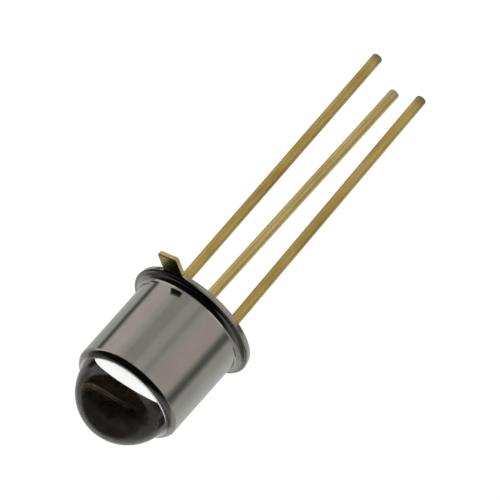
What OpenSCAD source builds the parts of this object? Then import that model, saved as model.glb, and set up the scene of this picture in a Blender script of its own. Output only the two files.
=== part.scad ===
// Phototransistor in a small round metal can with a domed glass lens.
// Frame: +Z is the optical axis, lens up, leads down. The origin is the centre of the
// seating plane, the underside of the header's flange. Millimetres and degrees.

/* [Cap] */
// Outer diameter of the can
can_d = 4.7; // [4.5:0.05:4.95]
// Height of the can's rim over the seating plane
can_h = 4.55; // [4.2:0.05:5.4]
// Thickness of the sheet that the can is drawn from
can_wall = 0.2; // [0.12:0.01:0.24]
// Outer radius of the can's rounded shoulder
shoulder_r = 0.32; // [0.28:0.01:0.45]
// Angle of the faint edge at which the shoulder meets the straight wall
shoulder_edge = 20; // [0:1:30]
// Diameter of the window in the top of the can
window_d = 4.06; // [3.9:0.01:4.1]
// Diameter of the can's weld flange
cap_flange_d = 5.48; // [5.3:0.01:5.8]
// Thickness of the weld flange, which is pressed thinner than the wall
cap_flange_t = 0.08; // [0.06:0.01:0.2]
// Radius of the rounded upper edge of the weld flange
cap_flange_edge_r = 0.03; // [0.02:0.01:0.05]
// Radius of the fillet between the can's wall and its weld flange, if the flange has room for it
can_fillet_r = 0.31; // [0.1:0.01:0.4]

/* [Lens] */
// Height of the lens's top over the can's rim
lens_rise = 1.79; // [1.2:0.01:1.95]
// Depth of the lens's flat back under the can's rim, on the axis
lens_back_depth = 0.6; // [0.55:0.01:1.5]
// Tilt at which that back froze; it is higher on the emitter lead's side
lens_back_tilt = 5; // [0:0.1:6]

/* [Header] */
// Diameter of the header's flange
header_flange_d = 5.42; // [5.3:0.01:5.8]
// Thickness of the header's flange and tab
header_flange_t = 0.2; // [0.1:0.01:0.4]
// Radius of the rounded edges of the header's flange
header_flange_edge_r = 0.04; // [0.02:0.01:0.05]
// Outer diameter of the raised eyelet
eyelet_d = 3.9; // [3.7:0.02:4.0]
// Height of the eyelet's platform over the seating plane
platform_h = 1.15; // [0.9:0.05:1.6]
// Thickness of the eyelet's platform
platform_t = 0.25; // [0.15:0.01:0.35]
// Thickness of the eyelet's side wall
eyelet_wall = 0.2; // [0.15:0.01:0.24]
// Radius of the eyelet's rounded shoulder
eyelet_shoulder_r = 0.15; // [0.05:0.01:0.2]

/* [Tab] */
// Width of the index tab
tab_w = 0.98; // [0.85:0.01:1.2]
// Length of the index tab beyond the header's flange
tab_l = 0.99; // [0.7:0.01:1.25]
// Direction of the index tab, from the emitter lead
tab_angle = -45; // [-50:1:-40]
// Radius of the index tab's outer corners
tab_corner_r = 0.14; // [0.02:0.01:0.3]
// Radius of the fillets at the foot of the index tab
tab_fillet_r = 0.25; // [0.05:0.01:0.5]

/* [Leads] */
// Diameter of a lead
lead_d = 0.43; // [0.4:0.01:0.5]
// Length of a lead below the seating plane
lead_l = 13.55; // [10:0.05:16]
// Diameter of the circle that the leads stand on
lead_circle_d = 2.54; // [2.4:0.01:2.6]
// Radius of the rounded edge at a lead's cut end
lead_end_r = 0.07; // [0.02:0.01:0.15]
// Height of the emitter and base posts over the platform
post_h = 0.35; // [0.2:0.01:0.6]
// Lean of the emitter lead's free length towards the emitter side
emitter_lean = 0.6; // [-3:0.1:3]
// Lean of the base lead's free length towards the emitter side
base_lean = -0.55; // [-3:0.05:3]
// Lean of the collector lead's free length towards the emitter side
collector_lean = 1.3; // [-3:0.1:3]
// Thickness of the plating on a lead's free length, which its bare core in the glass lacks
plating_t = 0.005; // [0.002:0.001:0.01]

/* [Glass seal] */
// Diameter of the glass collar round a post
collar_d = 0.8; // [0.6:0.01:0.84]
// Depth of the glass's face inside the eyelet, over the seating plane
seal_recess = 0.06; // [0.02:0.01:0.15]
// Height of the glass that climbs a lead at that face
meniscus_r = 0.05; // [0.02:0.01:0.06]

/* [Chip] */
// Side of the square silicon chip
chip_side = 1.02; // [0.6:0.01:1.2]
// Thickness of the chip
chip_t = 0.2; // [0.1:0.01:0.4]
// Thickness of the layer that joins the chip to the platform
attach_t = 0.03; // [0.01:0.005:0.08]
// Width of the rim of that layer round the chip
attach_rim = 0.04; // [0.01:0.01:0.1]

/* [Bond wires] */
// Diameter of a bond wire
wire_d = 0.05; // [0.025:0.005:0.08]
// Height of a wire's loop over the straight line between its ends
wire_loop = 0.22; // [0.12:0.01:0.4]
// Distance of a wire's ball from the edge of the chip
ball_inset = 0.2; // [0.1:0.01:0.35]
// Diameter of the flattened ball on the chip, and of the stitch on the post
ball_d = 0.12; // [0.1:0.01:0.16]
// Height of that ball and of the stitch
ball_h = 0.05; // [0.03:0.005:0.08]

/* [Hidden] */
$fn = 96;
can_r = can_d / 2;
bore_r = can_r - can_wall;
cap_foot_z = header_flange_t;
cap_flange_r = cap_flange_d / 2;
cap_flange_top_z = cap_foot_z + cap_flange_t;
fillet_r = min(can_fillet_r, cap_flange_r - can_r - cap_flange_edge_r);
shoulder_x = can_r - shoulder_r * cos(shoulder_edge);
window_r = window_d / 2;
lens_r = (pow(window_r, 2) + pow(lens_rise, 2)) / (2 * lens_rise);
lens_centre_z = can_h + lens_rise - lens_r;
lens_back_z = can_h - lens_back_depth;
lens_low_z = lens_back_z - bore_r * tan(lens_back_tilt);
eyelet_r = eyelet_d / 2;
seal_r = eyelet_r - eyelet_wall;
platform_under_z = platform_h - platform_t;
lead_r = lead_d / 2;
core_r = lead_r - plating_t;
lead_circle_r = lead_circle_d / 2;
post_top_z = platform_h + post_h;
chip_foot_z = platform_h + attach_t;
chip_top_z = chip_foot_z + chip_t;
header_flange_r = header_flange_d / 2;
flange_face_r = header_flange_r - header_flange_edge_r;
tab_root_x = flange_face_r - tab_fillet_r;
meniscus = min(meniscus_r, seal_recess);
overlap = 0.02;
emitter_angle = 0;
base_angle = 90;
collector_angle = 180;

// A lead's place on the lead circle
module at_lead(angle) {
    translate([lead_circle_r * cos(angle), lead_circle_r * sin(angle), 0]) children();
}

// Half section with its lower right and upper right corners rounded
module rounded_bar(r, z0, z1, low_r, high_r) {
    difference() {
        translate([0, z0]) square([r, z1 - z0]);
        if (low_r > 0) translate([r - low_r, z0]) corner_cut(low_r, -1);
        if (high_r > 0) translate([r - high_r, z1]) corner_cut(high_r, 1);
    }
}

// What a round corner takes off a square one; side is 1 for an upper corner
module corner_cut(r, side) {
    difference() {
        translate([0, side > 0 ? -r : -overlap]) square([r + overlap, r + overlap]);
        translate([0, -side * r]) circle(r);
    }
}

// Half section of the space inside the can, down to the header
module can_bore_section() {
    inner_r = max(shoulder_r - can_wall, overlap);
    rounded_bar(bore_r, cap_foot_z, can_h - can_wall, 0, inner_r);
    translate([0, cap_foot_z]) square([window_r, can_h - cap_foot_z]);
}

// Drawn can: weld flange, fillet, straight wall and round shoulder, pierced for the lens
module cap() {
    color("#b9b4ae") rotate_extrude() difference() {
        union() {
            rounded_bar(can_r, cap_foot_z, can_h, 0, 0);
            rounded_bar(cap_flange_r, cap_foot_z, cap_flange_top_z, 0, cap_flange_edge_r);
            can_fillet_section();
        }
        translate([shoulder_x, can_h]) corner_cut(shoulder_r, 1);
        can_bore_section();
        translate([0, can_h - overlap]) square([window_r, 2 * overlap]);
        translate([0, cap_foot_z - overlap]) square([bore_r, 2 * overlap]);
    }
}

// Half section of the fillet between the can's wall and its weld flange
module can_fillet_section() {
    difference() {
        translate([can_r - overlap, cap_flange_top_z - overlap])
            square(fillet_r + overlap);
        translate([can_r + fillet_r, cap_flange_top_z + fillet_r]) circle(fillet_r);
    }
}

// Glass lens, fused into the top of the can: dome, neck in the window and tilted flat back
module lens() {
    color("#20201e", 0.6) difference() {
        rotate_extrude() {
            intersection() {
                can_bore_section();
                translate([0, lens_low_z - overlap]) square([bore_r, can_h - lens_low_z + overlap]);
            }
            intersection() {
                translate([0, lens_centre_z]) circle(lens_r);
                translate([0, can_h - overlap]) square([window_r, lens_rise + 2 * overlap]);
            }
        }
        translate([0, 0, lens_back_z]) rotate([0, -lens_back_tilt, 0])
            translate([-can_r, -can_r, -can_r]) cube([can_d, can_d, can_r]);
    }
}

// Header: stamped eyelet with a flange, an index tab and a platform with two post holes
module header() {
    color("#c8a95a") difference() {
        union() {
            rotate_extrude() {
                rounded_bar(header_flange_r, 0, header_flange_t,
                    header_flange_edge_r, header_flange_edge_r);
                rounded_bar(eyelet_r, 0, platform_h, 0, eyelet_shoulder_r);
            }
            rotate(tab_angle) linear_extrude(header_flange_t) tab_outline();
        }
        translate([0, 0, -overlap]) cylinder(r = seal_r, h = platform_under_z + overlap);
        for (angle = [emitter_angle, base_angle])
            at_lead(angle) cylinder(d = collar_d, h = platform_h + overlap);
    }
}

// Index tab with round corners, and fillets that run into the flange's edge
module tab_outline() {
    end_x = header_flange_r + tab_l;
    half_w = tab_w / 2;
    translate([tab_root_x, -half_w]) square([end_x - tab_root_x - tab_corner_r, tab_w]);
    translate([tab_root_x, tab_corner_r - half_w])
        square([end_x - tab_root_x, tab_w - 2 * tab_corner_r]);
    for (side = [-1, 1])
        translate([end_x - tab_corner_r, side * (half_w - tab_corner_r)]) circle(tab_corner_r);
    for (side = [0, 1])
        mirror([0, side]) tab_fillet(half_w);
}

// One fillet, between the tab's edge at half_w and the round flange
module tab_fillet(half_w) {
    centre_y = half_w + tab_fillet_r;
    centre_x = sqrt(pow(flange_face_r + tab_fillet_r, 2) - pow(centre_y, 2));
    touch = flange_face_r / (flange_face_r + tab_fillet_r);
    difference() {
        polygon([[tab_root_x, half_w - overlap], [centre_x, half_w - overlap],
            [centre_x, centre_y], [centre_x * touch, centre_y * touch]]);
        translate([centre_x, centre_y]) circle(tab_fillet_r);
    }
}

// Lead whose core runs straight up through the glass to top_z. Its free length hangs from
// the seating plane and leans towards the emitter side.
module lead(angle, top_z, lean) {
    free_l = lead_l / cos(lean);
    color("#bfa14c") at_lead(angle) {
        translate([0, 0, -overlap]) cylinder(r = core_r, h = top_z + overlap);
        rotate([0, -lean, 0]) rotate_extrude() rounded_bar(lead_r, -free_l, 0, lead_end_r, 0);
    }
}

module emitter_lead() {
    lead(emitter_angle, post_top_z, emitter_lean);
}

module base_lead() {
    lead(base_angle, post_top_z, base_lean);
}

// The collector lead is butted to the underside of the platform, so it is the case too
module collector_lead() {
    lead(collector_angle, platform_under_z, collector_lean);
}

// Glass that fills the eyelet, with collars round the two posts and a meniscus at each lead
module glass_seal() {
    color("#5b6a62", 0.8) difference() {
        union() {
            translate([0, 0, seal_recess]) cylinder(r = seal_r, h = platform_under_z - seal_recess);
            for (angle = [emitter_angle, base_angle])
                at_lead(angle) translate([0, 0, platform_under_z - overlap])
                    cylinder(d = collar_d, h = platform_t + overlap);
            for (angle = [emitter_angle, base_angle, collector_angle])
                at_lead(angle) rotate_extrude() meniscus_section();
        }
        for (angle = [emitter_angle, base_angle, collector_angle])
            at_lead(angle) cylinder(r = core_r, h = platform_h + overlap);
    }
}

// Half section of the glass that climbs a lead, concave on the outside
module meniscus_section() {
    difference() {
        translate([0, seal_recess - meniscus]) square([core_r + meniscus, meniscus + overlap]);
        translate([core_r + meniscus, seal_recess - meniscus]) circle(meniscus);
    }
}

// Layer of solder that holds the chip
module die_attach() {
    side = chip_side + 2 * attach_rim;
    color("#d8c27a") translate([-side / 2, -side / 2, platform_h]) cube([side, side, attach_t]);
}

module chip() {
    color("#3a4048") translate([-chip_side / 2, -chip_side / 2, chip_foot_z])
        cube([chip_side, chip_side, chip_t]);
}

// Gold wire from a flattened ball on the chip, up in an arc and down to a post's top
module bond_wire(angle) {
    start_x = chip_side / 2 - ball_inset;
    span_x = lead_circle_r - start_x;
    start_z = chip_top_z + wire_d / 2;
    span_z = post_top_z - chip_top_z;
    chord = norm([span_x, span_z]);
    arc_r = (pow(chord / 2, 2) + pow(wire_loop, 2)) / (2 * wire_loop);
    half_arc = asin(chord / 2 / arc_r);
    color("#d9b45a") rotate(angle) {
        translate([start_x, 0, chip_top_z]) cylinder(d = ball_d, h = ball_h);
        translate([lead_circle_r, 0, post_top_z]) cylinder(d = ball_d, h = ball_h);
        translate([start_x, 0, start_z]) rotate([90, 0, 0]) rotate(atan2(span_z, span_x))
            translate([chord / 2, wire_loop - arc_r]) rotate(90 - half_arc)
                rotate_extrude(angle = 2 * half_arc) translate([arc_r, 0]) circle(wire_d / 2);
    }
}

module emitter_bond_wire() {
    bond_wire(emitter_angle);
}

module base_bond_wire() {
    bond_wire(base_angle);
}

header();
glass_seal();
emitter_lead();
base_lead();
collector_lead();
die_attach();
chip();
emitter_bond_wire();
base_bond_wire();
lens();
cap();
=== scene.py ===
from math import acos, asin, cos, degrees, pi, radians, sin, sqrt, tan

import bmesh
import bpy
import numpy as np
from mathutils import Matrix, Vector
from mathutils.geometry import delaunay_2d_cdt


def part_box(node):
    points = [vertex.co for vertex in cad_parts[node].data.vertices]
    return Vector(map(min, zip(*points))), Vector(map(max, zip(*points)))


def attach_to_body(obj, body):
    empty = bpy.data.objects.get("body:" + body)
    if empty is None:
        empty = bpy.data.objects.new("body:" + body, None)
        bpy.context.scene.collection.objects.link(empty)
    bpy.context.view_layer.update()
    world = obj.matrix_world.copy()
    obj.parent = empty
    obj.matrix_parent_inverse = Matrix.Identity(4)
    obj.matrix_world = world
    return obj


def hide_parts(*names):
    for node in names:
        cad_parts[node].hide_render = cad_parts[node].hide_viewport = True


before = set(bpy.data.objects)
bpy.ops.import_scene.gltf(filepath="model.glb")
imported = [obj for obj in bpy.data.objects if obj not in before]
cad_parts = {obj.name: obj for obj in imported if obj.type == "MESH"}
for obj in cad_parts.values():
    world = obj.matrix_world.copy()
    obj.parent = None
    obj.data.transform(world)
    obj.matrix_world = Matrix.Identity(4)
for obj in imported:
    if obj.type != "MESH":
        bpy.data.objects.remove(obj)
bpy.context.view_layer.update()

# Header: the stamped eyelet that carries the rest, with a flange, an index tab and a raised platform.
# Iron-nickel sheet, pressed in one piece, with two holes punched for the posts, then plated with matt gold.
MM = 0.001
flange_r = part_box("header")[1].y / MM
flange_t = 0.2
flange_edge_r = 0.04
eyelet_r = 1.95
eyelet_bore_r = 1.75
eyelet_shoulder_r = 0.15
platform_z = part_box("header")[1].z / MM
platform_under_z = 0.9
tab_half_w = 0.49
tab_l = 0.99
tab_end = flange_r + tab_l
tab_corner_r = 0.14
tab_fillet_r = 0.25
tab_turn = radians(-45)
lead_circle_r = 1.27
post_places = [(lead_circle_r, 0.0), (0.0, lead_circle_r)]
collector_place = (-lead_circle_r, 0.0)
collar_r = 0.4


def arc(centre, radius, start, end, count=12):
    """Points on a circle about centre, evenly from angle start to angle end, in degrees."""
    angle = np.radians(np.linspace(start, end, count))
    return np.column_stack([centre[0] + radius * np.cos(angle), centre[1] + radius * np.sin(angle)])


def grid(points, closed=True):
    """Quads of a grid of points in rows; closed joins each row's last point to its first."""
    rows, columns = points.shape[:2]
    index = np.arange(rows * columns).reshape(rows, columns)
    beside = np.roll(index, -1, axis=1)
    quads = np.stack([index[:-1], beside[:-1], beside[1:], index[1:]], axis=-1)
    quads = quads if closed else quads[:, :-1]
    return points.reshape(-1, 3), quads.reshape(-1, 4).tolist()


def round_angles(count):
    """Angles of that many points spread evenly round a circle, in radians."""
    return np.linspace(0, 2 * pi, count, endpoint=False)


def turned(profile, centre=(0, 0), angle=round_angles(96)):
    """Surface of revolution: each (radius, height) of the profile goes round an upright axis at centre."""
    radius, height = np.asarray(profile, float).T[:, :, None]
    x = centre[0] + radius * np.cos(angle)
    y = centre[1] + radius * np.sin(angle)
    return grid(np.stack([x, y, height + 0 * angle], axis=-1))


def circle(radius, centre=(0, 0), angle=round_angles(96)):
    """Points on a full circle at the given angles."""
    return np.column_stack([centre[0] + radius * np.cos(angle), centre[1] + radius * np.sin(angle)])


def flat_face(outline, holes, height):
    """Flat face at one height, in triangles, inside an outline and outside round holes.
    A hole is its centre, radius and angles; triangles whose middle lies in a hole are left out."""
    just_inside = 0.999
    same_point = 1e-9
    loops = [outline] + [circle(radius, centre, angle) for centre, radius, angle in holes]
    starts = np.cumsum([0] + [len(loop) for loop in loops])
    edges = np.concatenate([
        start + np.column_stack([np.arange(len(loop)), np.roll(np.arange(len(loop)), -1)])
        for start, loop in zip(starts, loops)
    ])
    flat = [Vector(point) for point in np.concatenate(loops)]
    points, _, triangles, *_ = delaunay_2d_cdt(flat, edges.tolist(), [], 1, same_point)
    points, triangles = np.array(points), np.array(triangles)
    middle = points[triangles].mean(axis=1)
    kept = np.ones(len(triangles), bool)
    for centre, radius, _ in holes:
        kept &= np.hypot(*(middle - centre).T) > radius * just_inside
    return np.column_stack([points, np.full(len(points), height)]), triangles[kept].tolist()


def make_piece(name, parts, slot, *nodes, smooth_below=35):
    """Joins the parts, given in millimetres, into one mesh in metres that stands for CAD nodes.
    Edges flatter than smooth_below degrees are shaded smooth."""
    starts = np.cumsum([0] + [len(points) for points, _ in parts])
    points = np.concatenate([points for points, _ in parts]) * MM
    faces = [[start + i for i in face] for start, (_, some) in zip(starts, parts) for face in some]
    mesh = bpy.data.meshes.new(name)
    mesh.from_pydata(points, [], faces)
    welded = bmesh.new()
    welded.from_mesh(mesh)
    weld_gap = 0.0005
    bmesh.ops.remove_doubles(welded, verts=welded.verts, dist=weld_gap * MM)
    bmesh.ops.recalc_face_normals(welded, faces=welded.faces)
    welded.to_mesh(mesh)
    welded.free()
    mesh.polygons.foreach_set("use_smooth", np.ones(len(mesh.polygons), bool))
    mesh.set_sharp_from_angle(angle=radians(smooth_below))
    piece = bpy.data.objects.new(name, mesh)
    bpy.context.scene.collection.objects.link(piece)
    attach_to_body(piece, "root")
    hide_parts(*nodes)
    return piece


def tab_outline():
    """Plan of the flange with its tab along +X: the flange's circle, then the fillet, edge and corner
    of each side of the tab."""
    fillet_y = tab_half_w + tab_fillet_r
    fillet_x = sqrt((flange_r + tab_fillet_r) ** 2 - fillet_y ** 2)
    meet = degrees(asin(fillet_y / (flange_r + tab_fillet_r)))
    corner_x, corner_y = tab_end - tab_corner_r, tab_half_w - tab_corner_r
    return np.concatenate([
        arc((0, 0), flange_r, meet, 360 - meet, 240)[:-1],
        arc((fillet_x, -fillet_y), tab_fillet_r, 180 - meet, 90),
        arc((corner_x, -corner_y), tab_corner_r, -90, 0, 8),
        arc((corner_x, corner_y), tab_corner_r, 0, 90, 8),
        arc((fillet_x, fillet_y), tab_fillet_r, 270, 180 + meet)[:-1],
    ])


def rounded_plate(outline):
    """Edge of a plate with that plan: each step of its rounded section moves the outline inwards and up.
    The first and last steps lie on the flat faces, so that the round edge does not tilt their shading."""
    along = np.roll(outline, -1, axis=0) - np.roll(outline, 1, axis=0)
    inwards = np.column_stack([-along[:, 1], along[:, 0]]) / np.hypot(*along.T)[:, None]
    low = arc((flange_edge_r, flange_edge_r), flange_edge_r, -90, -180, 8)
    high = arc((flange_edge_r, flange_t - flange_edge_r), flange_edge_r, 180, 90, 8)
    flat_w = 0.01
    level = flange_edge_r + flat_w
    section = np.concatenate([[(level, 0)], low, high, [(level, flange_t)]])
    rows = outline + section[:, 0, None, None] * inwards
    height = np.broadcast_to(section[:, 1, None, None], rows[..., :1].shape)
    return np.concatenate([rows, height], axis=-1)


tab_spin = np.array([[cos(tab_turn), sin(tab_turn)], [-sin(tab_turn), cos(tab_turn)]])
edge = rounded_plate(tab_outline() @ tab_spin)
header_angle = np.arctan2(edge[0, :, 1], edge[0, :, 0])


def ring_face(outer, radius):
    """Flat ring between a row of the plate's points and a circle inside it, point for point at one angle."""
    inner = np.column_stack([circle(radius, angle=header_angle), outer[:, 2]])
    return grid(np.stack([outer, inner]))


post_holes = [(place, collar_r, round_angles(96)) for place in post_places]
shoulder = arc((eyelet_r - eyelet_shoulder_r, platform_z - eyelet_shoulder_r), eyelet_shoulder_r, 0, 90)
header = make_piece("header_eyelet", [
    grid(edge), ring_face(edge[0], eyelet_bore_r), ring_face(edge[-1], eyelet_r),
    turned([(eyelet_r, flange_t), *shoulder], angle=header_angle),
    flat_face(circle(eyelet_r - eyelet_shoulder_r, angle=header_angle), post_holes, platform_z),
    *[turned([(collar_r, platform_z), (collar_r, platform_under_z)], place) for place in post_places],
    flat_face(circle(eyelet_bore_r, angle=header_angle), post_holes, platform_under_z),
    turned([(eyelet_bore_r, platform_under_z), (eyelet_bore_r, 0)], angle=header_angle),
], "gold_plated_header", "header")


def linear(colour):
    """Linear RGBA of an sRGB hex colour."""
    shown = np.array([int(colour[i:i + 2], 16) for i in (1, 3, 5)]) / 255
    return (*np.where(shown <= 0.04045, shown / 12.92, ((shown + 0.055) / 1.055) ** 2.4), 1.0)


def node(tree, kind, inputs=(), **settings):
    """Adds a node with its settings; an input is a value to set or another node's output to link.
    Sockets that share a name go by number. A colour Mix has its share at 0, its colours at 6 and 7 and its
    result at 2. A Map Range has its value at 0, its old range at 1 and 2 and its new one at 3 and 4."""
    made = tree.nodes.new("ShaderNode" + kind)
    for name, value in settings.items():
        setattr(made, name, value)
    for socket, value in dict(inputs).items():
        if isinstance(value, bpy.types.NodeSocket):
            tree.links.new(value, made.inputs[socket])
        else:
            made.inputs[socket].default_value = value
    return made


def per(size):
    """Texture scale that gives a pattern of that size in millimetres."""
    return 1 / (size * MM)


def new_finish(name):
    """Empty material, and its tree."""
    made = bpy.data.materials.new(name)
    made.use_nodes = True
    made.node_tree.nodes.clear()
    return made, made.node_tree


def gold_plate(name, pale, deep, grain, stain, stretch, roughness, grey_ring=None, bare_tip=None):
    """Gold plate: a fine grain that breaks up the gloss, over slow drifts from pale to deep gold.
    Grain and stain are sizes in millimetres, and stretch lengthens the drifts along Z, as on drawn wire.
    Between the two radii of a grey ring the gold has gone. A bare tip is a height and a colour: the gold
    turns to that colour over the last half millimetre above the height."""
    ring_fade_in, ring_fade_out, tip_fade = 0.05, 0.1, 0.5
    gloss_spread = 0.02
    grain_h = grain * 0.05
    made, tree = new_finish(name)
    place = node(tree, "TexCoord").outputs["Object"]
    drawn = node(tree, "Mapping", {"Vector": place, "Scale": (1, 1, 1 / stretch)}).outputs[0]
    drift = node(tree, "TexNoise", {"Vector": drawn, "Scale": per(stain), "Detail": 4}).outputs[0]
    drift = node(tree, "MapRange", {0: drift, 1: 0.35, 2: 0.65}).outputs[0]
    fine = node(tree, "TexNoise", {"Vector": place, "Scale": per(grain), "Detail": 3}).outputs[0]
    colour = node(tree, "Mix", {0: drift, 6: linear(pale), 7: linear(deep)}, data_type="RGBA").outputs[2]
    if grey_ring:
        flat = node(tree, "VectorMath", {0: place, 1: (1, 1, 0)}, operation="MULTIPLY").outputs[0]
        away = node(tree, "VectorMath", {0: flat}, operation="LENGTH").outputs[1]
        inner, outer = grey_ring
        bare = node(tree, "MapRange", {0: away, 1: inner * MM, 2: (inner + ring_fade_in) * MM}).outputs[0]
        bare = node(tree, "MapRange", {
            0: away, 1: outer * MM, 2: (outer + ring_fade_out) * MM, 3: bare, 4: 0}).outputs[0]
        colour = node(tree, "Mix", {0: bare, 6: colour, 7: linear("#a7a5a0")}, data_type="RGBA").outputs[2]
    if bare_tip:
        end_z, bare_colour = bare_tip
        height = node(tree, "SeparateXYZ", {0: place}).outputs[2]
        bare = node(tree, "MapRange", {
            0: height, 1: end_z * MM, 2: (end_z + tip_fade) * MM, 3: 1, 4: 0}).outputs[0]
        colour = node(tree, "Mix", {0: bare, 6: colour, 7: linear(bare_colour)}, data_type="RGBA").outputs[2]
    dull = node(tree, "MapRange", {
        0: fine, 1: 0.3, 2: 0.7, 3: roughness - gloss_spread, 4: roughness + gloss_spread}).outputs[0]
    bump = node(tree, "Bump", {"Height": fine, "Strength": 0.08, "Distance": grain_h * MM}).outputs[0]
    shader = node(tree, "BsdfPrincipled", {
        "Base Color": colour, "Metallic": 1.0, "Roughness": dull, "Normal": bump})
    node(tree, "OutputMaterial", {"Surface": shader.outputs[0]})
    return made


# Stamped sheet takes the plate evenly, so only faint cloudy patches of a millimetre show.
# Welding to the can has burnt the gold off the flange's rim, which is grey.
header.data.materials.append(gold_plate(
    "gold_on_sheet", "#cfc28b", "#bfae70", grain=0.03, stain=1.1, stretch=1, roughness=0.12,
    grey_ring=(2.5, flange_r)))

# Glass seal: the bead of sealing glass that fills the eyelet and keeps the leads apart.
# Dark grey-green glass, melted in place, so its face dips and climbs a little at each lead.
seal_face_z = 0.06
meniscus_r = 0.05
core_r = 0.21
lead_places = [*post_places, collector_place]
wet_r = core_r + meniscus_r
lead_holes = [(place, wet_r, round_angles(96)) for place in lead_places]
top_holes = post_holes + [(collector_place, core_r, round_angles(96))]
climb = arc((wet_r, seal_face_z - meniscus_r), meniscus_r, 90, 180, 8)
rim = circle(eyelet_bore_r, angle=header_angle)
collar = [(collar_r, platform_under_z), (collar_r, platform_z), (core_r, platform_z), climb[-1]]
seal = make_piece("glass_bead", [
    flat_face(rim, lead_holes, seal_face_z),
    turned([(eyelet_bore_r, seal_face_z), (eyelet_bore_r, platform_under_z)], angle=header_angle),
    flat_face(rim, top_holes, platform_under_z),
    *[turned(climb, place) for place in lead_places],
    *[turned(collar, place) for place in post_places],
    turned([(core_r, platform_under_z), climb[-1]], collector_place),
], "seal_glass", "glass_seal")

# Sealing glass is glossy and dark grey-green, with slow clouds and small pale gas bubbles at its face.
bubble_gap = 0.12
cloud_size = 0.7
cloud_h = 0.03
seal_glass, tree = new_finish("fused_sealing_glass")
place = node(tree, "TexCoord").outputs["Object"]
bubbles = node(tree, "TexVoronoi", {"Vector": place, "Scale": per(bubble_gap)}).outputs["Distance"]
bubbles = node(tree, "MapRange", {0: bubbles, 1: 0.12, 2: 0.2, 3: 1, 4: 0}).outputs[0]
cloud = node(tree, "TexNoise", {"Vector": place, "Scale": per(cloud_size), "Detail": 3}).outputs[0]
colour = node(tree, "Mix", {
    0: cloud, 6: linear("#2b332e"), 7: linear("#4b554c")}, data_type="RGBA").outputs[2]
colour = node(tree, "Mix", {0: bubbles, 6: colour, 7: linear("#6d776b")}, data_type="RGBA").outputs[2]
wave = node(tree, "Bump", {"Height": cloud, "Strength": 0.4, "Distance": cloud_h * MM}).outputs[0]
shader = node(tree, "BsdfPrincipled", {"Base Color": colour, "Roughness": 0.12, "IOR": 1.52, "Normal": wave})
node(tree, "OutputMaterial", {"Surface": shader.outputs[0]})
seal.data.materials.append(seal_glass)

# Leads: three wires of drawn iron-nickel, plated with matt gold and cut off to one length.
# Each is straight in the glass; the free length below the seating plane leans a little, as handled parts do.
lead_r = 0.215
lead_l = 13.55
lead_end_r = 0.07
post_edge_r = 0.02

# On drawn wire the plate is satin, with long soft drifts, and at the cut end it wears to grey-brown metal.
# The base lead is given a paler gold and a paler tip.
lead_finish = gold_plate(
    "gold_on_drawn_wire", "#d3bd74", "#b9a058", grain=0.035, stain=0.4, stretch=5, roughness=0.4,
    bare_tip=(-lead_l, "#7f7a61"))
pale_finish = gold_plate(
    "paler_gold_on_drawn_wire", "#e4d28d", "#cfbb78", grain=0.035, stain=0.4, stretch=5, roughness=0.4,
    bare_tip=(-lead_l, "#b9b29a"))


def lead(name, centre, top_z, lean, finish, node_name):
    """Wire along an upright line and then a leaning one: rings of the given radius, square to the line.
    A ring's place is its distance below the seating plane, so the core above it is negative."""
    lean = radians(lean)
    free_l = lead_l / cos(lean)
    top = arc((core_r - post_edge_r, post_edge_r - top_z), post_edge_r, -90, 0, 6)
    tip = arc((lead_r - lead_end_r, free_l - lead_end_r), lead_end_r, 0, 90, 8)
    free = np.column_stack([np.full(40, lead_r), np.linspace(0, free_l - lead_end_r, 40)])
    rings = np.concatenate([[(0, -top_z)], top, [(core_r, 0)], free, tip[1:], [(0, free_l)]])
    radius, below = rings.T[:, :, None]
    lean = np.where(below > 0, lean, 0.0)
    angle = round_angles(64)
    across = radius * np.cos(angle)
    x = centre[0] + across * np.cos(lean) + below * np.sin(lean)
    y = centre[1] + radius * np.sin(angle)
    z = across * np.sin(lean) - below * np.cos(lean)
    made = make_piece(name, [grid(np.stack([x, y, z], axis=-1))], "gold_plated_lead", node_name)
    made.data.materials.append(finish)


post_top_z = 1.5
emitter_lean, base_lean, collector_lean = 0.6, -0.55, 1.3
lead("emitter_wire", post_places[0], post_top_z, emitter_lean, lead_finish, "emitter_lead")
lead("base_wire", post_places[1], post_top_z, base_lean, pale_finish, "base_lead")
lead("collector_wire", collector_place, platform_under_z, collector_lean, lead_finish, "collector_lead")

# Die attach: the thin layer of gold solder that holds the chip on the platform.
# It froze as it wetted both faces, so it is satin, a little uneven and paler than the plate.
ripple_size = 0.08
ripple_h = 0.006
solder, tree = new_finish("frozen_gold_solder")
place = node(tree, "TexCoord").outputs["Object"]
ripple = node(tree, "TexNoise", {"Vector": place, "Scale": per(ripple_size), "Detail": 3}).outputs[0]
colour = node(tree, "Mix", {
    0: ripple, 6: linear("#d8c792"), 7: linear("#b89e5c")}, data_type="RGBA").outputs[2]
bump = node(tree, "Bump", {"Height": ripple, "Strength": 0.6, "Distance": ripple_h * MM}).outputs[0]
shader = node(tree, "BsdfPrincipled", {
    "Base Color": colour, "Metallic": 1.0, "Roughness": 0.35, "Normal": bump})
node(tree, "OutputMaterial", {"Surface": shader.outputs[0]})
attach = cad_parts["die_attach"]
attach.data.materials.clear()
attach.data.materials.append(solder)

# Chip: a square of polished silicon, sawn from a wafer, with the light-sensitive base as a large dark field.
# A pale metal frame runs round the field, and two bond pads of the same metal lie under the wires.
chip_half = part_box("chip")[1].x / MM
frame_gap = 0.06
frame_w = 0.04
frame_out = chip_half - frame_gap
frame_in = frame_out - frame_w
ball_gap = 0.2
ball_place = chip_half - ball_gap
pad_r = 0.09
haze_size = 0.3

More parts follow.
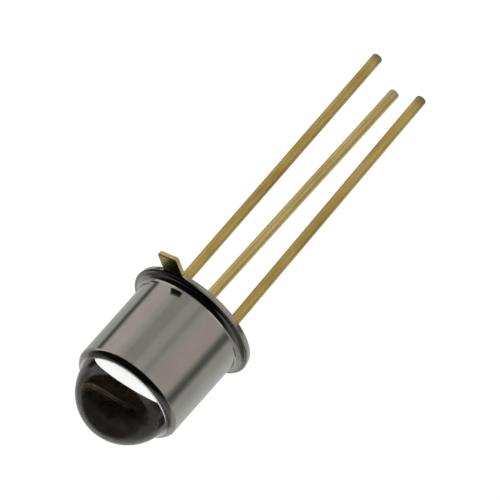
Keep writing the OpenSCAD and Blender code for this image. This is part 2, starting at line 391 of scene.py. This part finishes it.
# Polished silicon is a dark blue-grey mirror with a faint haze over the field; its metal is pale grey.
silicon, tree = new_finish("polished_silicon")
place = node(tree, "TexCoord").outputs["Object"]
apart = node(tree, "SeparateXYZ", {0: place})
square = node(tree, "Math", {0: node(tree, "Math", {0: apart.outputs[0]}, operation="ABSOLUTE").outputs[0],
                             1: node(tree, "Math", {0: apart.outputs[1]}, operation="ABSOLUTE").outputs[0]},
              operation="MAXIMUM").outputs[0]
in_field = node(tree, "Math", {0: square, 1: frame_in * MM}, operation="LESS_THAN").outputs[0]
band = node(tree, "Math", {0: square, 1: (frame_out + frame_in) / 2 * MM, 2: (frame_out - frame_in) / 2 * MM},
            operation="COMPARE").outputs[0]
flat = node(tree, "CombineXYZ", {0: apart.outputs[0], 1: apart.outputs[1]}).outputs[0]
for pad in [(ball_place, 0), (0, ball_place)]:
    centre = (pad[0] * MM, pad[1] * MM, 0)
    away = node(tree, "VectorMath", {0: flat, 1: centre}, operation="DISTANCE").outputs[1]
    disc = node(tree, "Math", {0: away, 1: pad_r * MM}, operation="LESS_THAN").outputs[0]
    band = node(tree, "Math", {0: band, 1: disc}, operation="MAXIMUM").outputs[0]
haze = node(tree, "TexNoise", {"Vector": place, "Scale": per(haze_size), "Detail": 2}).outputs[0]
field = node(tree, "Mix", {0: haze, 6: linear("#20263a"), 7: linear("#2c3550")}, data_type="RGBA").outputs[2]
colour = node(tree, "Mix", {0: in_field, 6: linear("#5b616c"), 7: field}, data_type="RGBA").outputs[2]
colour = node(tree, "Mix", {0: band, 6: colour, 7: linear("#cfcdc8")}, data_type="RGBA").outputs[2]
shader = node(tree, "BsdfPrincipled", {"Base Color": colour, "Metallic": band, "Roughness": 0.12, "IOR": 3.4})
node(tree, "OutputMaterial", {"Surface": shader.outputs[0]})
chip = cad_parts["chip"]
chip.data.materials.clear()
chip.data.materials.append(silicon)

# Bond wires: two fine gold wires, each pressed to a ball on the chip and to a flat stitch on a post.
# Between them the wire stands up in an even loop, so nothing touches it.
wire_r = 0.025
wire_loop = 0.22
ball_r = 0.06
ball_h = 0.05
chip_top_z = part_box("chip")[1].z / MM

# Drawn gold is brighter, smoother and a deeper yellow than plate.
wire_finish = gold_plate("drawn_gold", "#f0cd78", "#e2b85c", grain=0.01, stain=0.1, stretch=1, roughness=0.18)


def flat_ball(x, z):
    """Pressed ball: a disc with a half-round side, closed on top and below."""
    side = arc((ball_r - ball_h / 2, z + ball_h / 2), ball_h / 2, -90, 90, 10)
    return turned([(0, z), *side, (0, z + ball_h)], (x, 0), round_angles(32))


def looped_wire(start, end):
    """Wire of round section along the arc of a circle from start to end.
    Both are (distance, height) in one upright plane."""
    chord = np.subtract(end, start)
    length = np.hypot(*chord)
    radius = ((length / 2) ** 2 + wire_loop ** 2) / (2 * wire_loop)
    half = asin(length / 2 / radius)
    lift = np.array([-chord[1], chord[0]]) / length
    middle = np.add(start, end) / 2 + lift * (wire_loop - radius)
    swing = np.linspace(half, -half, 40)[:, None]
    out = -np.sin(swing) * chord / length + np.cos(swing) * lift
    angle = round_angles(20)
    reach = (radius + wire_r * np.cos(angle))[None, :, None]
    flat = middle + reach * out[:, None, :]
    side = np.broadcast_to(wire_r * np.sin(angle), flat.shape[:2])
    return np.stack([flat[..., 0], side, flat[..., 1]], axis=-1)


def bond_wire(name, turn, node_name):
    """Ball, looped wire and stitch in the XZ plane, then turned about Z."""
    start, end = (ball_place, chip_top_z + wire_r), (post_places[0][0], post_top_z + wire_r)
    parts = [flat_ball(ball_place, chip_top_z), grid(looped_wire(start, end)), flat_ball(end[0], post_top_z)]
    spin = np.array(Matrix.Rotation(radians(turn), 3, "Z"))
    made = make_piece(name, [(points @ spin.T, faces) for points, faces in parts], "gold_wire", node_name)
    made.data.materials.append(wire_finish)


bond_wire("emitter_loop", 0, "emitter_bond_wire")
bond_wire("base_loop", 90, "base_bond_wire")

# Lens: a dome of clear glass, melted into the window of the can, with a flat back that froze at a tilt.
# Glass and metal are fused, so its side lies a trace within the can's wall and no air is between them.
fused = 0.004
window_r = 2.03
can_bore_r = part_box("lens")[1].x / MM
can_rim_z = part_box("cap")[1].z / MM
lens_top_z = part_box("lens")[1].z / MM
lens_back_tilt = 5
lens_back_slope = tan(radians(lens_back_tilt))
lens_back_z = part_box("lens")[0].z / MM + can_bore_r * lens_back_slope
lens_rise = lens_top_z - can_rim_z
lens_r = (window_r ** 2 + lens_rise ** 2) / (2 * lens_rise)
neck_r = window_r + fused
lip_r = 0.12
lip_drop = 0.32
lip_centre = (can_bore_r - lip_r, can_rim_z - lip_drop)
dome = arc((0, lens_top_z - lens_r), lens_r, 90, degrees(acos(neck_r / lens_r)), 72)
neck = arc(lip_centre, lip_r + fused, 88, 0, 10)
lens_angle = round_angles(288)


def domed_glass():
    """The dome and neck turned about Z, then a back of two rows whose height rises evenly along X."""
    points, _ = turned([*dome, *neck, (can_bore_r + fused, lens_back_z), (0, lens_back_z)], angle=lens_angle)
    points = points.reshape(-1, len(lens_angle), 3)
    points[-2:, :, 2] += lens_back_slope * points[-2:, :, 0]
    return grid(points)


lens = make_piece("domed_glass", [domed_glass()], "lens_glass", "lens")

# Clear glass with a melted, smooth face: the dark can shows through the dome, and so does a white crescent
# where its back mirrors the room. Faint cords tint it by a trace.
cord_size = 1.5
lens_glass, tree = new_finish("clear_fire_polished_glass")
place = node(tree, "TexCoord").outputs["Object"]
cord = node(tree, "TexNoise", {"Vector": place, "Scale": per(cord_size), "Detail": 2}).outputs[0]
tint = node(tree, "Mix", {0: cord, 6: linear("#fdfdfb"), 7: linear("#f6f8f5")}, data_type="RGBA").outputs[2]
shader = node(tree, "BsdfPrincipled", {
    "Base Color": tint, "Roughness": 0.0, "IOR": 1.5, "Transmission Weight": 1.0})
node(tree, "OutputMaterial", {"Surface": shader.outputs[0]})
lens.data.materials.append(lens_glass)

# Cap: the can, drawn from thin sheet, with a rounded shoulder round its window and a weld flange at its foot.
# It is nickel-plated outside, dark with oxide inside, where glass is fused to it, and welded to the header.
# Its shoulder and its flange's edge are rounded a few hundredths of a millimetre wider than on the solid.
can_r = 2.35
can_foot_z = flange_t
cap_flange_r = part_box("cap")[1].x / MM
cap_flange_t = 0.08
cap_flange_top_z = can_foot_z + cap_flange_t
cap_edge_r = 0.06
cap_foot_edge_r = 0.015
can_fillet_r = 0.31
shoulder_r = 0.38
shoulder_edge = 20
shoulder_centre = (can_r - shoulder_r * cos(radians(shoulder_edge)), can_rim_z - shoulder_r)
shoulder_end = degrees(acos((window_r - shoulder_centre[0]) / shoulder_r))
outside = np.concatenate([
    [(can_bore_r, can_foot_z)],
    arc((cap_flange_r - cap_foot_edge_r, can_foot_z + cap_foot_edge_r), cap_foot_edge_r, -90, 0, 5),
    arc((cap_flange_r - cap_edge_r, cap_flange_top_z - cap_edge_r), cap_edge_r, 0, 90, 12),
    arc((can_r + can_fillet_r, cap_flange_top_z + can_fillet_r), can_fillet_r, 270, 180, 32),
    arc(shoulder_centre, shoulder_r, shoulder_edge, shoulder_end, 28),
])
inside = np.concatenate([outside[-1:], arc(lip_centre, lip_r, 90, 0, 10), [(can_bore_r, can_foot_z)]])
cap_angle = round_angles(384)
cap = make_piece("can", [turned(outside, angle=cap_angle), turned(inside, angle=cap_angle)],
                 "nickel_plated_can", "cap", smooth_below=15)

# Bright nickel on drawn sheet is a soft grey mirror: fine lines along the draw blur it and slow waves bend it.
# Painted shade darkens the flange's rim on the tab's side, and a painted glint brightens the window's edge.
line_w, line_h, line_stretch = 0.12, 0.004, 25
wave_w, wave_h, wave_stretch = 1.2, 0.012, 2.5
bloom_size = 0.9
rim_shade_from_r, rim_shade_full_r = cap_flange_r - 0.03, cap_flange_r - 0.01
rim_shade_from_x, rim_shade_full_x = 0.5, 1.2
glint_ring_to_r, glint_ring_end_r = window_r + 0.08, window_r + 0.12
nickel, tree = new_finish("bright_nickel_plate")
place = node(tree, "TexCoord").outputs["Object"]
drawn = node(tree, "Mapping", {"Vector": place, "Scale": (1, 1, 1 / line_stretch)}).outputs[0]
streak = node(tree, "TexNoise", {"Vector": drawn, "Scale": per(line_w), "Detail": 3}).outputs[0]
bloom = node(tree, "TexNoise", {"Vector": place, "Scale": per(bloom_size), "Detail": 4}).outputs[0]
bloom = node(tree, "MapRange", {0: bloom, 1: 0.35, 2: 0.7}).outputs[0]
colour = node(tree, "Mix", {
    0: bloom, 6: linear("#a6a59f"), 7: linear("#a09f9a")}, data_type="RGBA").outputs[2]
dull = node(tree, "MapRange", {0: streak, 1: 0.3, 2: 0.7, 3: 0.09, 4: 0.13}).outputs[0]
flat = node(tree, "VectorMath", {0: place, 1: (1, 1, 0)}, operation="MULTIPLY").outputs[0]
away = node(tree, "VectorMath", {0: flat}, operation="LENGTH").outputs[1]
# Painted shade: near the tab the outermost rim of the flange is mixed towards near-black.
painted_rim_shade = node(tree, "MapRange", {0: away, 1: rim_shade_from_r * MM, 2: rim_shade_full_r * MM}).outputs[0]
aside = node(tree, "SeparateXYZ", {0: place}).outputs[0]
aside = node(tree, "MapRange", {0: aside, 1: rim_shade_from_x * MM, 2: rim_shade_full_x * MM}).outputs[0]
painted_rim_shade = node(tree, "Math", {0: painted_rim_shade, 1: aside}, operation="MULTIPLY").outputs[0]
colour = node(tree, "Mix", {0: painted_rim_shade, 6: colour, 7: linear("#22201e")}, data_type="RGBA").outputs[2]
# Painted glint: the shoulder's ring next to the window is mixed towards a pale lilac-white, so that it mirrors
# more light.
painted_glint_ring = node(tree, "MapRange", {0: away, 1: glint_ring_to_r * MM, 2: glint_ring_end_r * MM, 3: 1, 4: 0}).outputs[0]
colour = node(tree, "Mix", {0: painted_glint_ring, 6: colour, 7: linear("#e2dfe4")}, data_type="RGBA").outputs[2]
wave = node(tree, "Mapping", {"Vector": place, "Scale": (1, 1, 1 / wave_stretch)}).outputs[0]
wave = node(tree, "TexNoise", {"Vector": wave, "Scale": per(wave_w), "Detail": 2}).outputs[0]
wave = node(tree, "Bump", {"Height": wave, "Strength": 1.0, "Distance": wave_h * MM}).outputs[0]
lines = node(tree, "Bump", {
    "Height": streak, "Strength": 0.05, "Distance": line_h * MM, "Normal": wave}).outputs[0]
shader = node(tree, "BsdfPrincipled", {
    "Base Color": colour, "Metallic": 1.0, "Roughness": dull, "Normal": lines})
node(tree, "OutputMaterial", {"Surface": shader.outputs[0]})

# Oxide under fused glass is a dull brown-black. At the top of the lip, a thin light-brown edge is painted
# highlight for the lip's lit corner; it fades out on the collector's side and shows in the dome as a brown
# arc.
mottle_size = 0.2
lip_top_z = lip_centre[1] + lip_r
lip_play = 0.002
lip_glint_h, lip_glint_fade = 0.04, 2.5
lip_glint_from_x, lip_glint_full_x, lip_glint_least = -0.45, 0.05, 0.1
oxide, tree = new_finish("dark_oxide_inside_the_can")
place = node(tree, "TexCoord").outputs["Object"]
mottle = node(tree, "TexNoise", {"Vector": place, "Scale": per(mottle_size), "Detail": 4}).outputs[0]
colour = node(tree, "Mix", {
    0: mottle, 6: linear("#2a231c"), 7: linear("#362d25")}, data_type="RGBA").outputs[2]
aside, _, height = node(tree, "SeparateXYZ", {0: place}).outputs
# Painted highlight: the top few hundredths of a millimetre of the lip are mixed towards light brown, less on
# the collector's side.
painted_lip_glint = node(tree, "MapRange", {0: height, 1: (lip_top_z - lip_glint_h) * MM, 2: lip_top_z * MM}).outputs[0]
painted_lip_glint = node(tree, "Math", {0: painted_lip_glint, 1: lip_glint_fade}, operation="POWER").outputs[0]
aside = node(tree, "MapRange", {
    0: aside, 1: lip_glint_from_x * MM, 2: lip_glint_full_x * MM, 3: lip_glint_least, 4: 1}).outputs[0]
painted_lip_glint = node(tree, "Math", {0: painted_lip_glint, 1: aside}, operation="MULTIPLY").outputs[0]
below = node(tree, "Math", {0: height, 1: (lip_top_z + lip_play) * MM}, operation="LESS_THAN").outputs[0]
painted_lip_glint = node(tree, "Math", {0: painted_lip_glint, 1: below}, operation="MULTIPLY").outputs[0]
colour = node(tree, "Mix", {0: painted_lip_glint, 6: colour, 7: linear("#c2b29a")}, data_type="RGBA").outputs[2]
shader = node(tree, "BsdfPrincipled", {"Base Color": colour, "Roughness": 0.6, "Specular IOR Level": 0.0})
node(tree, "OutputMaterial", {"Surface": shader.outputs[0]})

# The faces of the bore and of the lip, inside the can, take the oxide.
hair = 0.001
cap.data.materials.append(nickel)
cap.data.materials.append(oxide)
centres = np.empty(len(cap.data.polygons) * 3)
cap.data.polygons.foreach_get("center", centres)
x, y, height = centres.reshape(-1, 3).T / MM
away = np.hypot(x, y)
within = (away < can_bore_r + hair) & (height > can_foot_z + hair)
within &= (height < lip_top_z) | (away < window_r + hair)
cap.data.polygons.foreach_set("material_index", within.astype(np.int32))

# Floor: a pale sheet well below the leads, white to the eye, to metal and to glass, that takes a shadow.
# It lies low because the part is held by its leads in use, and does not stand on them.
floor_z = -130.0


def stage_mesh(name, points, closed):
    """A surface of the studio, which is no part of the object, from a grid of points in millimetres."""
    corners, faces = grid(points, closed)
    mesh = bpy.data.meshes.new(name)
    mesh.from_pydata(corners * MM, [], faces)
    made = bpy.data.objects.new(name, mesh)
    bpy.context.scene.collection.objects.link(made)
    return made


def seen_share(tree):
    """1 for a ray from the camera, off metal or through glass, and 0 for other light."""
    path = node(tree, "LightPath")
    share = path.outputs["Is Camera Ray"]
    for kind in ("Is Glossy Ray", "Is Transmission Ray"):
        share = node(tree, "Math", {0: share, 1: path.outputs[kind]}, operation="MAXIMUM").outputs[0]
    return share


angle = round_angles(96)
reach = np.array([0.0, 100.0, 600.0])[:, None]
x, y = reach * np.cos(angle), reach * np.sin(angle)
floor = stage_mesh("floor", np.stack([x, y, np.full_like(x, floor_z)], axis=-1), True)

# White paper with a glow of its own for what is seen or mirrored, so that it blends into the white room.
paper, tree = new_finish("white_paper")
pale = node(tree, "BsdfDiffuse", {"Color": linear("#e6e6e4")})
glow = node(tree, "Emission", {"Color": (1, 1, 1, 1), "Strength": node(
    tree, "Math", {0: seen_share(tree), 1: 0.5}, operation="MULTIPLY").outputs[0]})
both = node(tree, "AddShader", {0: pale.outputs[0], 1: glow.outputs[0]})
node(tree, "OutputMaterial", {"Surface": both.outputs[0]})
floor.data.materials.append(paper)

# Light: a white room, two soft lamps, and a grey tent with cards that only the part's metal and gloss mirror.
# The tent gives the can its tones: a black roof over its front, and soft lighter and darker strips round it.
view_turn = 5.2
view_lift = 25.0
can_middle_z = 2


def card(name, side, lift, distance, tone, soft):
    """Card on a sphere round the can, between two side angles and between two height angles, in degrees.
    A side angle counts from the camera's side towards the emitter lead. Cover grows from 0 at the card's
    border to 1 at the soft angle inside it, as 3 times the square less twice the cube; one soft angle is
    for its sides and one for its ends. A nearer card covers a farther one."""
    beside, up = np.linspace(*side, 120), np.linspace(*lift, 60)[:, None]
    from_side = np.clip(np.minimum(beside - side[0], side[1] - beside) / soft[0], 0, 1)
    from_end = np.clip(np.minimum(up - lift[0], lift[1] - up) / soft[1], 0, 1)
    cover = from_side ** 2 * (3 - 2 * from_side) * from_end ** 2 * (3 - 2 * from_end)
    around = np.radians(view_turn - 90 + beside)
    up = np.radians(up)
    x = distance * np.cos(up) * np.cos(around)
    y = distance * np.cos(up) * np.sin(around)
    z = can_middle_z + distance * np.sin(up) + 0 * x
    made = stage_mesh(name, np.stack([x, y, z], axis=-1), False)
    made.data.attributes.new("cover", "FLOAT", "POINT").data.foreach_set("value", cover.ravel())
    plain, tree = new_finish(name + "_tone")
    share = node(tree, "Attribute", attribute_name="cover").outputs["Fac"]
    glow = node(tree, "Emission", {"Color": linear(tone)})
    clear = node(tree, "BsdfTransparent")
    mixed = node(tree, "MixShader", {0: share, 1: clear.outputs[0], 2: glow.outputs[0]})
    node(tree, "OutputMaterial", {"Surface": mixed.outputs[0]})
    made.data.materials.append(plain)
    made.visible_camera = made.visible_diffuse = made.visible_transmission = made.visible_shadow = False


card("tent", (-200, 200), (-100, 100), 120, "#cdccc9", (1, 1))
card("under_card", (-200, 200), (-100, -46), 119.5, "#a9a7a5", (1, 14))
card("far_card", (110, 290), (18, 110), 119, "#5a5a58", (14, 14))
card("left_card", (56, 190), (-70, 12), 118.5, "#e9dedc", (20, 10))
card("edge_card", (112, 200), (-70, 12), 118.3, "#cacdca", (24, 10))
card("right_card", (-175, -92), (-70, -3), 118, "#dfe5e1", (40, 12))
card("front_card", (-64, -6), (-70, 4), 117.8, "#dacbca", (16, 10))
card("shade_card", (23, 58), (-70, 4), 117.5, "#bcb7b5", (9, 10))
card("middle_card", (-9, 13), (-70, 4), 117, "#bdbab8", (10, 10))
card("dark_line_card", (101, 127), (-70, 4), 116.8, "#626260", (12, 8))
card("dark_band_card", (-91, -53), (-70, 4), 116.5, "#737371", (17, 8))
card("veil_card", (-145, 150), (-4, 124), 116, "#7c7c7a", (24, 24))
card("right_low_card", (-125, -48), (-6, 22), 115.8, "#c4c4c2", (14, 8))
card("right_high_card", (-150, -86), (-4, 34), 115.7, "#bababa", (20, 12))
card("right_dark_card", (-130, -96), (-18, -3), 115.6, "#4e4e4c", (8, 5))
card("left_strip_card", (60, 120), (-6, 24), 115.5, "#ffffff", (6, 6))
card("left_dark_card", (98, 132), (-18, -3), 115.4, "#383836", (8, 5))
card("right_strip_card", (-54, -8), (-6, 24), 115, "#ffffff", (6, 6))
card("roof_card", (-105, 163), (12, 104), 114, "#0d0d0d", (60, 4))
card("left_high_card", (104, 165), (-2, 19), 113.5, "#b0b0ae", (14, 6))


def lamp(name, place, size, power):
    """Square soft lamp that faces the part; it lights the floor and dull surfaces, and is not mirrored."""
    light = bpy.data.lights.new(name, "AREA")
    light.size, light.energy = size * MM, power
    made = bpy.data.objects.new(name, light)
    made.location = Vector(place) * MM
    made.rotation_mode = "QUATERNION"
    made.rotation_quaternion = (-made.location).to_track_quat("-Z", "Y")
    made.visible_camera = made.visible_glossy = False
    bpy.context.scene.collection.objects.link(made)


lamp("key_lamp", (-180, -220, 320), 260, 0.35)
lamp("fill_lamp", (260, -120, 200), 260, 0.15)

# The room is pure white where it is seen or mirrored, and lights dull surfaces a little less.
room = bpy.data.worlds.new("white_room")
room.use_nodes = True
room.node_tree.nodes.clear()
level = node(room.node_tree, "MapRange", {0: seen_share(room.node_tree), 3: 0.6, 4: 1.0}).outputs[0]
white = node(room.node_tree, "Background", {"Color": (1, 1, 1, 1), "Strength": level})
node(room.node_tree, "OutputWorld", {"Surface": white.outputs[0]})
bpy.context.scene.world = room
bpy.context.scene.view_settings.view_transform = "Standard"

# Camera: a long lens that looks down on the dome's side of the can, turned so that the leads rise rightwards.
# The angles and the field were measured from the photograph's ellipses, lead spacing and lead ends.
lead_slope = radians(48.33)
field_w = 19.425
aim = (-3.723, 0.134)
camera_far = 800.0
sensor_w = 36.0
turn, lift = radians(view_turn), radians(view_lift)
upright = Vector((0, 0, 1))
sideways = Vector((cos(turn), sin(turn), 0))
towards = Vector((sin(turn), -cos(turn), 0))
leads_way = -cos(lift) * upright + sin(lift) * towards
right = cos(lead_slope) * leads_way - sin(lead_slope) * sideways
above = sin(lead_slope) * leads_way + cos(lead_slope) * sideways
backwards = sin(lift) * upright + cos(lift) * towards
lens_data = bpy.data.cameras.new("camera")
lens_data.sensor_width = sensor_w
lens_data.lens = sensor_w * camera_far / field_w
lens_data.clip_start, lens_data.clip_end = 0.05, 10
camera = bpy.data.objects.new("camera", lens_data)
bpy.context.scene.collection.objects.link(camera)
spot = (aim[0] * upright + aim[1] * sideways + camera_far * backwards) * MM
camera.matrix_world = Matrix.Translation(spot) @ Matrix((right, above, backwards)).transposed().to_4x4()
bpy.context.scene.camera = camera
